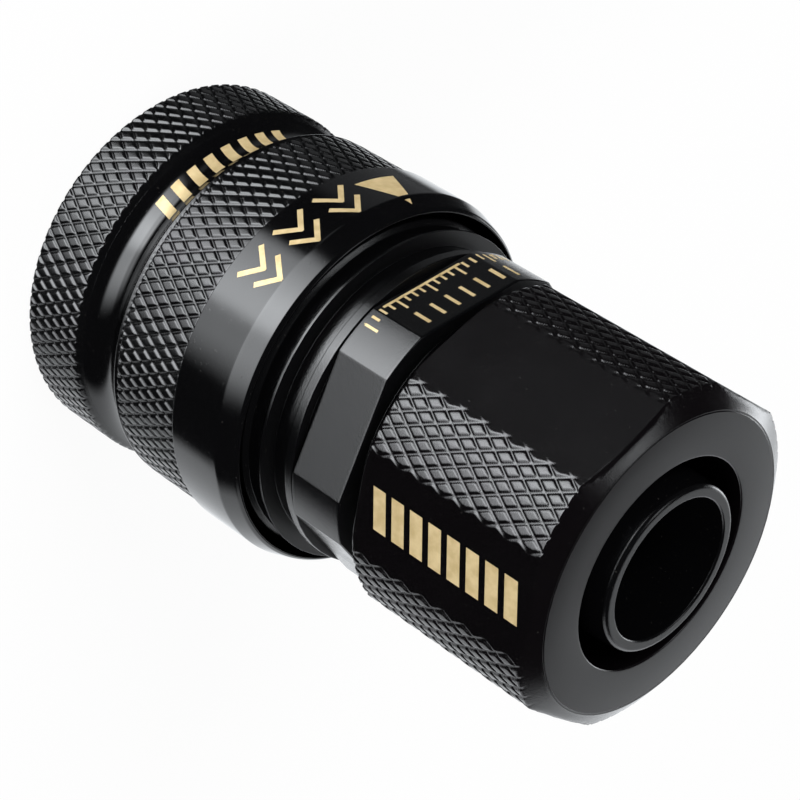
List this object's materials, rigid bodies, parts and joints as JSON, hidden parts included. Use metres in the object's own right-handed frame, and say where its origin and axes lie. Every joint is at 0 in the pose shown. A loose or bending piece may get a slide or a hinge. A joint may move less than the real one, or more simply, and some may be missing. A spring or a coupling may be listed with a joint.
{
  "type": "liquid cooling quick coupling",
  "caption": "Black-plated quick coupling socket for a coolant hose, with a knurled pull sleeve, locking balls, a spring-loaded flat valve and a hose nut.",
  "frame": {"origin": "centre of the socket's front face, on the floor that the coupling stands on", "axes": "+Z along the axis from the socket towards the hose nut, -Y the outward normal of one flat of the wrench hexagon"},
  "size_m": [0.024, 0.024, 0.0416],
  "materials": {
    "black_plated_brass": "black nickel plating over brass, glossy, with satin end faces",
    "bright_plated_brass": "satin nickel plating",
    "spring_steel": "drawn wire",
    "ball_steel": "polished stainless steel",
    "seal_rubber": "matte black rubber"
  },
  "bodies": {
    "coupling_body": {"socket_body": "black_plated_brass", "tail_body": "black_plated_brass", "retaining_ring": "spring_steel", "valve_stem": "bright_plated_brass", "valve_spring": "spring_steel", "plug_seal": "seal_rubber", "stem_seal": "seal_rubber", "body_seal": "seal_rubber"},
    "spring_carrier": {"sleeve_spring": "spring_steel"},
    "sleeve": {"pull_sleeve": "black_plated_brass"},
    "valve": {"valve_sleeve": "bright_plated_brass"},
    "nut": {"compression_nut": "black_plated_brass"},
    "ball_1": {"locking_ball_1": "ball_steel"},
    "ball_2": {"locking_ball_2": "ball_steel"},
    "ball_3": {"locking_ball_3": "ball_steel"},
    "ball_4": {"locking_ball_4": "ball_steel"},
    "ball_5": {"locking_ball_5": "ball_steel"},
    "ball_6": {"locking_ball_6": "ball_steel"},
    "ball_7": {"locking_ball_7": "ball_steel"},
    "ball_8": {"locking_ball_8": "ball_steel"}
  },
  "joints": [
    {"name": "sleeve_spin", "type": "hinge", "parent": "coupling_body", "child": "spring_carrier", "pos_m": [0, 0, 0], "axis": [0, 0, 1], "continuous": true},
    {"name": "sleeve_pull", "type": "slide", "parent": "spring_carrier", "child": "sleeve", "axis": [0, 0, 1], "range_m": [0, 0.0035], "stiffness_N_per_m": 1500, "springref_m": -0.0025, "deforming": ["sleeve_spring"]},
    {"name": "valve_push", "type": "slide", "parent": "coupling_body", "child": "valve", "axis": [0, 0, 1], "range_m": [0, 0.0045], "stiffness_N_per_m": 600, "springref_m": -0.004, "deforming": ["valve_spring"]},
    {"name": "nut_turn", "type": "hinge", "parent": "coupling_body", "child": "nut", "pos_m": [0, 0, 0.0345], "axis": [0, 0, 1], "continuous": true},
    {"name": "ball_1_release", "type": "slide", "parent": "coupling_body", "child": "ball_1", "axis": [1, 0, 0], "range_m": [0, 0.0008]},
    {"name": "ball_2_release", "type": "slide", "parent": "coupling_body", "child": "ball_2", "axis": [0.7071, 0.7071, 0], "range_m": [0, 0.0008]},
    {"name": "ball_3_release", "type": "slide", "parent": "coupling_body", "child": "ball_3", "axis": [0, 1, 0], "range_m": [0, 0.0008]},
    {"name": "ball_4_release", "type": "slide", "parent": "coupling_body", "child": "ball_4", "axis": [-0.7071, 0.7071, 0], "range_m": [0, 0.0008]},
    {"name": "ball_5_release", "type": "slide", "parent": "coupling_body", "child": "ball_5", "axis": [-1, 0, 0], "range_m": [0, 0.0008]},
    {"name": "ball_6_release", "type": "slide", "parent": "coupling_body", "child": "ball_6", "axis": [-0.7071, -0.7071, 0], "range_m": [0, 0.0008]},
    {"name": "ball_7_release", "type": "slide", "parent": "coupling_body", "child": "ball_7", "axis": [0, -1, 0], "range_m": [0, 0.0008]},
    {"name": "ball_8_release", "type": "slide", "parent": "coupling_body", "child": "ball_8", "axis": [0.7071, -0.7071, 0], "range_m": [0, 0.0008]}
  ],
  "couplings": [
    {"joint": "ball_1_release", "follows": "sleeve_pull", "ratio": 0.2285},
    {"joint": "ball_2_release", "follows": "sleeve_pull", "ratio": 0.2285},
    {"joint": "ball_3_release", "follows": "sleeve_pull", "ratio": 0.2285},
    {"joint": "ball_4_release", "follows": "sleeve_pull", "ratio": 0.2285},
    {"joint": "ball_5_release", "follows": "sleeve_pull", "ratio": 0.2285},
    {"joint": "ball_6_release", "follows": "sleeve_pull", "ratio": 0.2285},
    {"joint": "ball_7_release", "follows": "sleeve_pull", "ratio": 0.2285},
    {"joint": "ball_8_release", "follows": "sleeve_pull", "ratio": 0.2285}
  ]
}
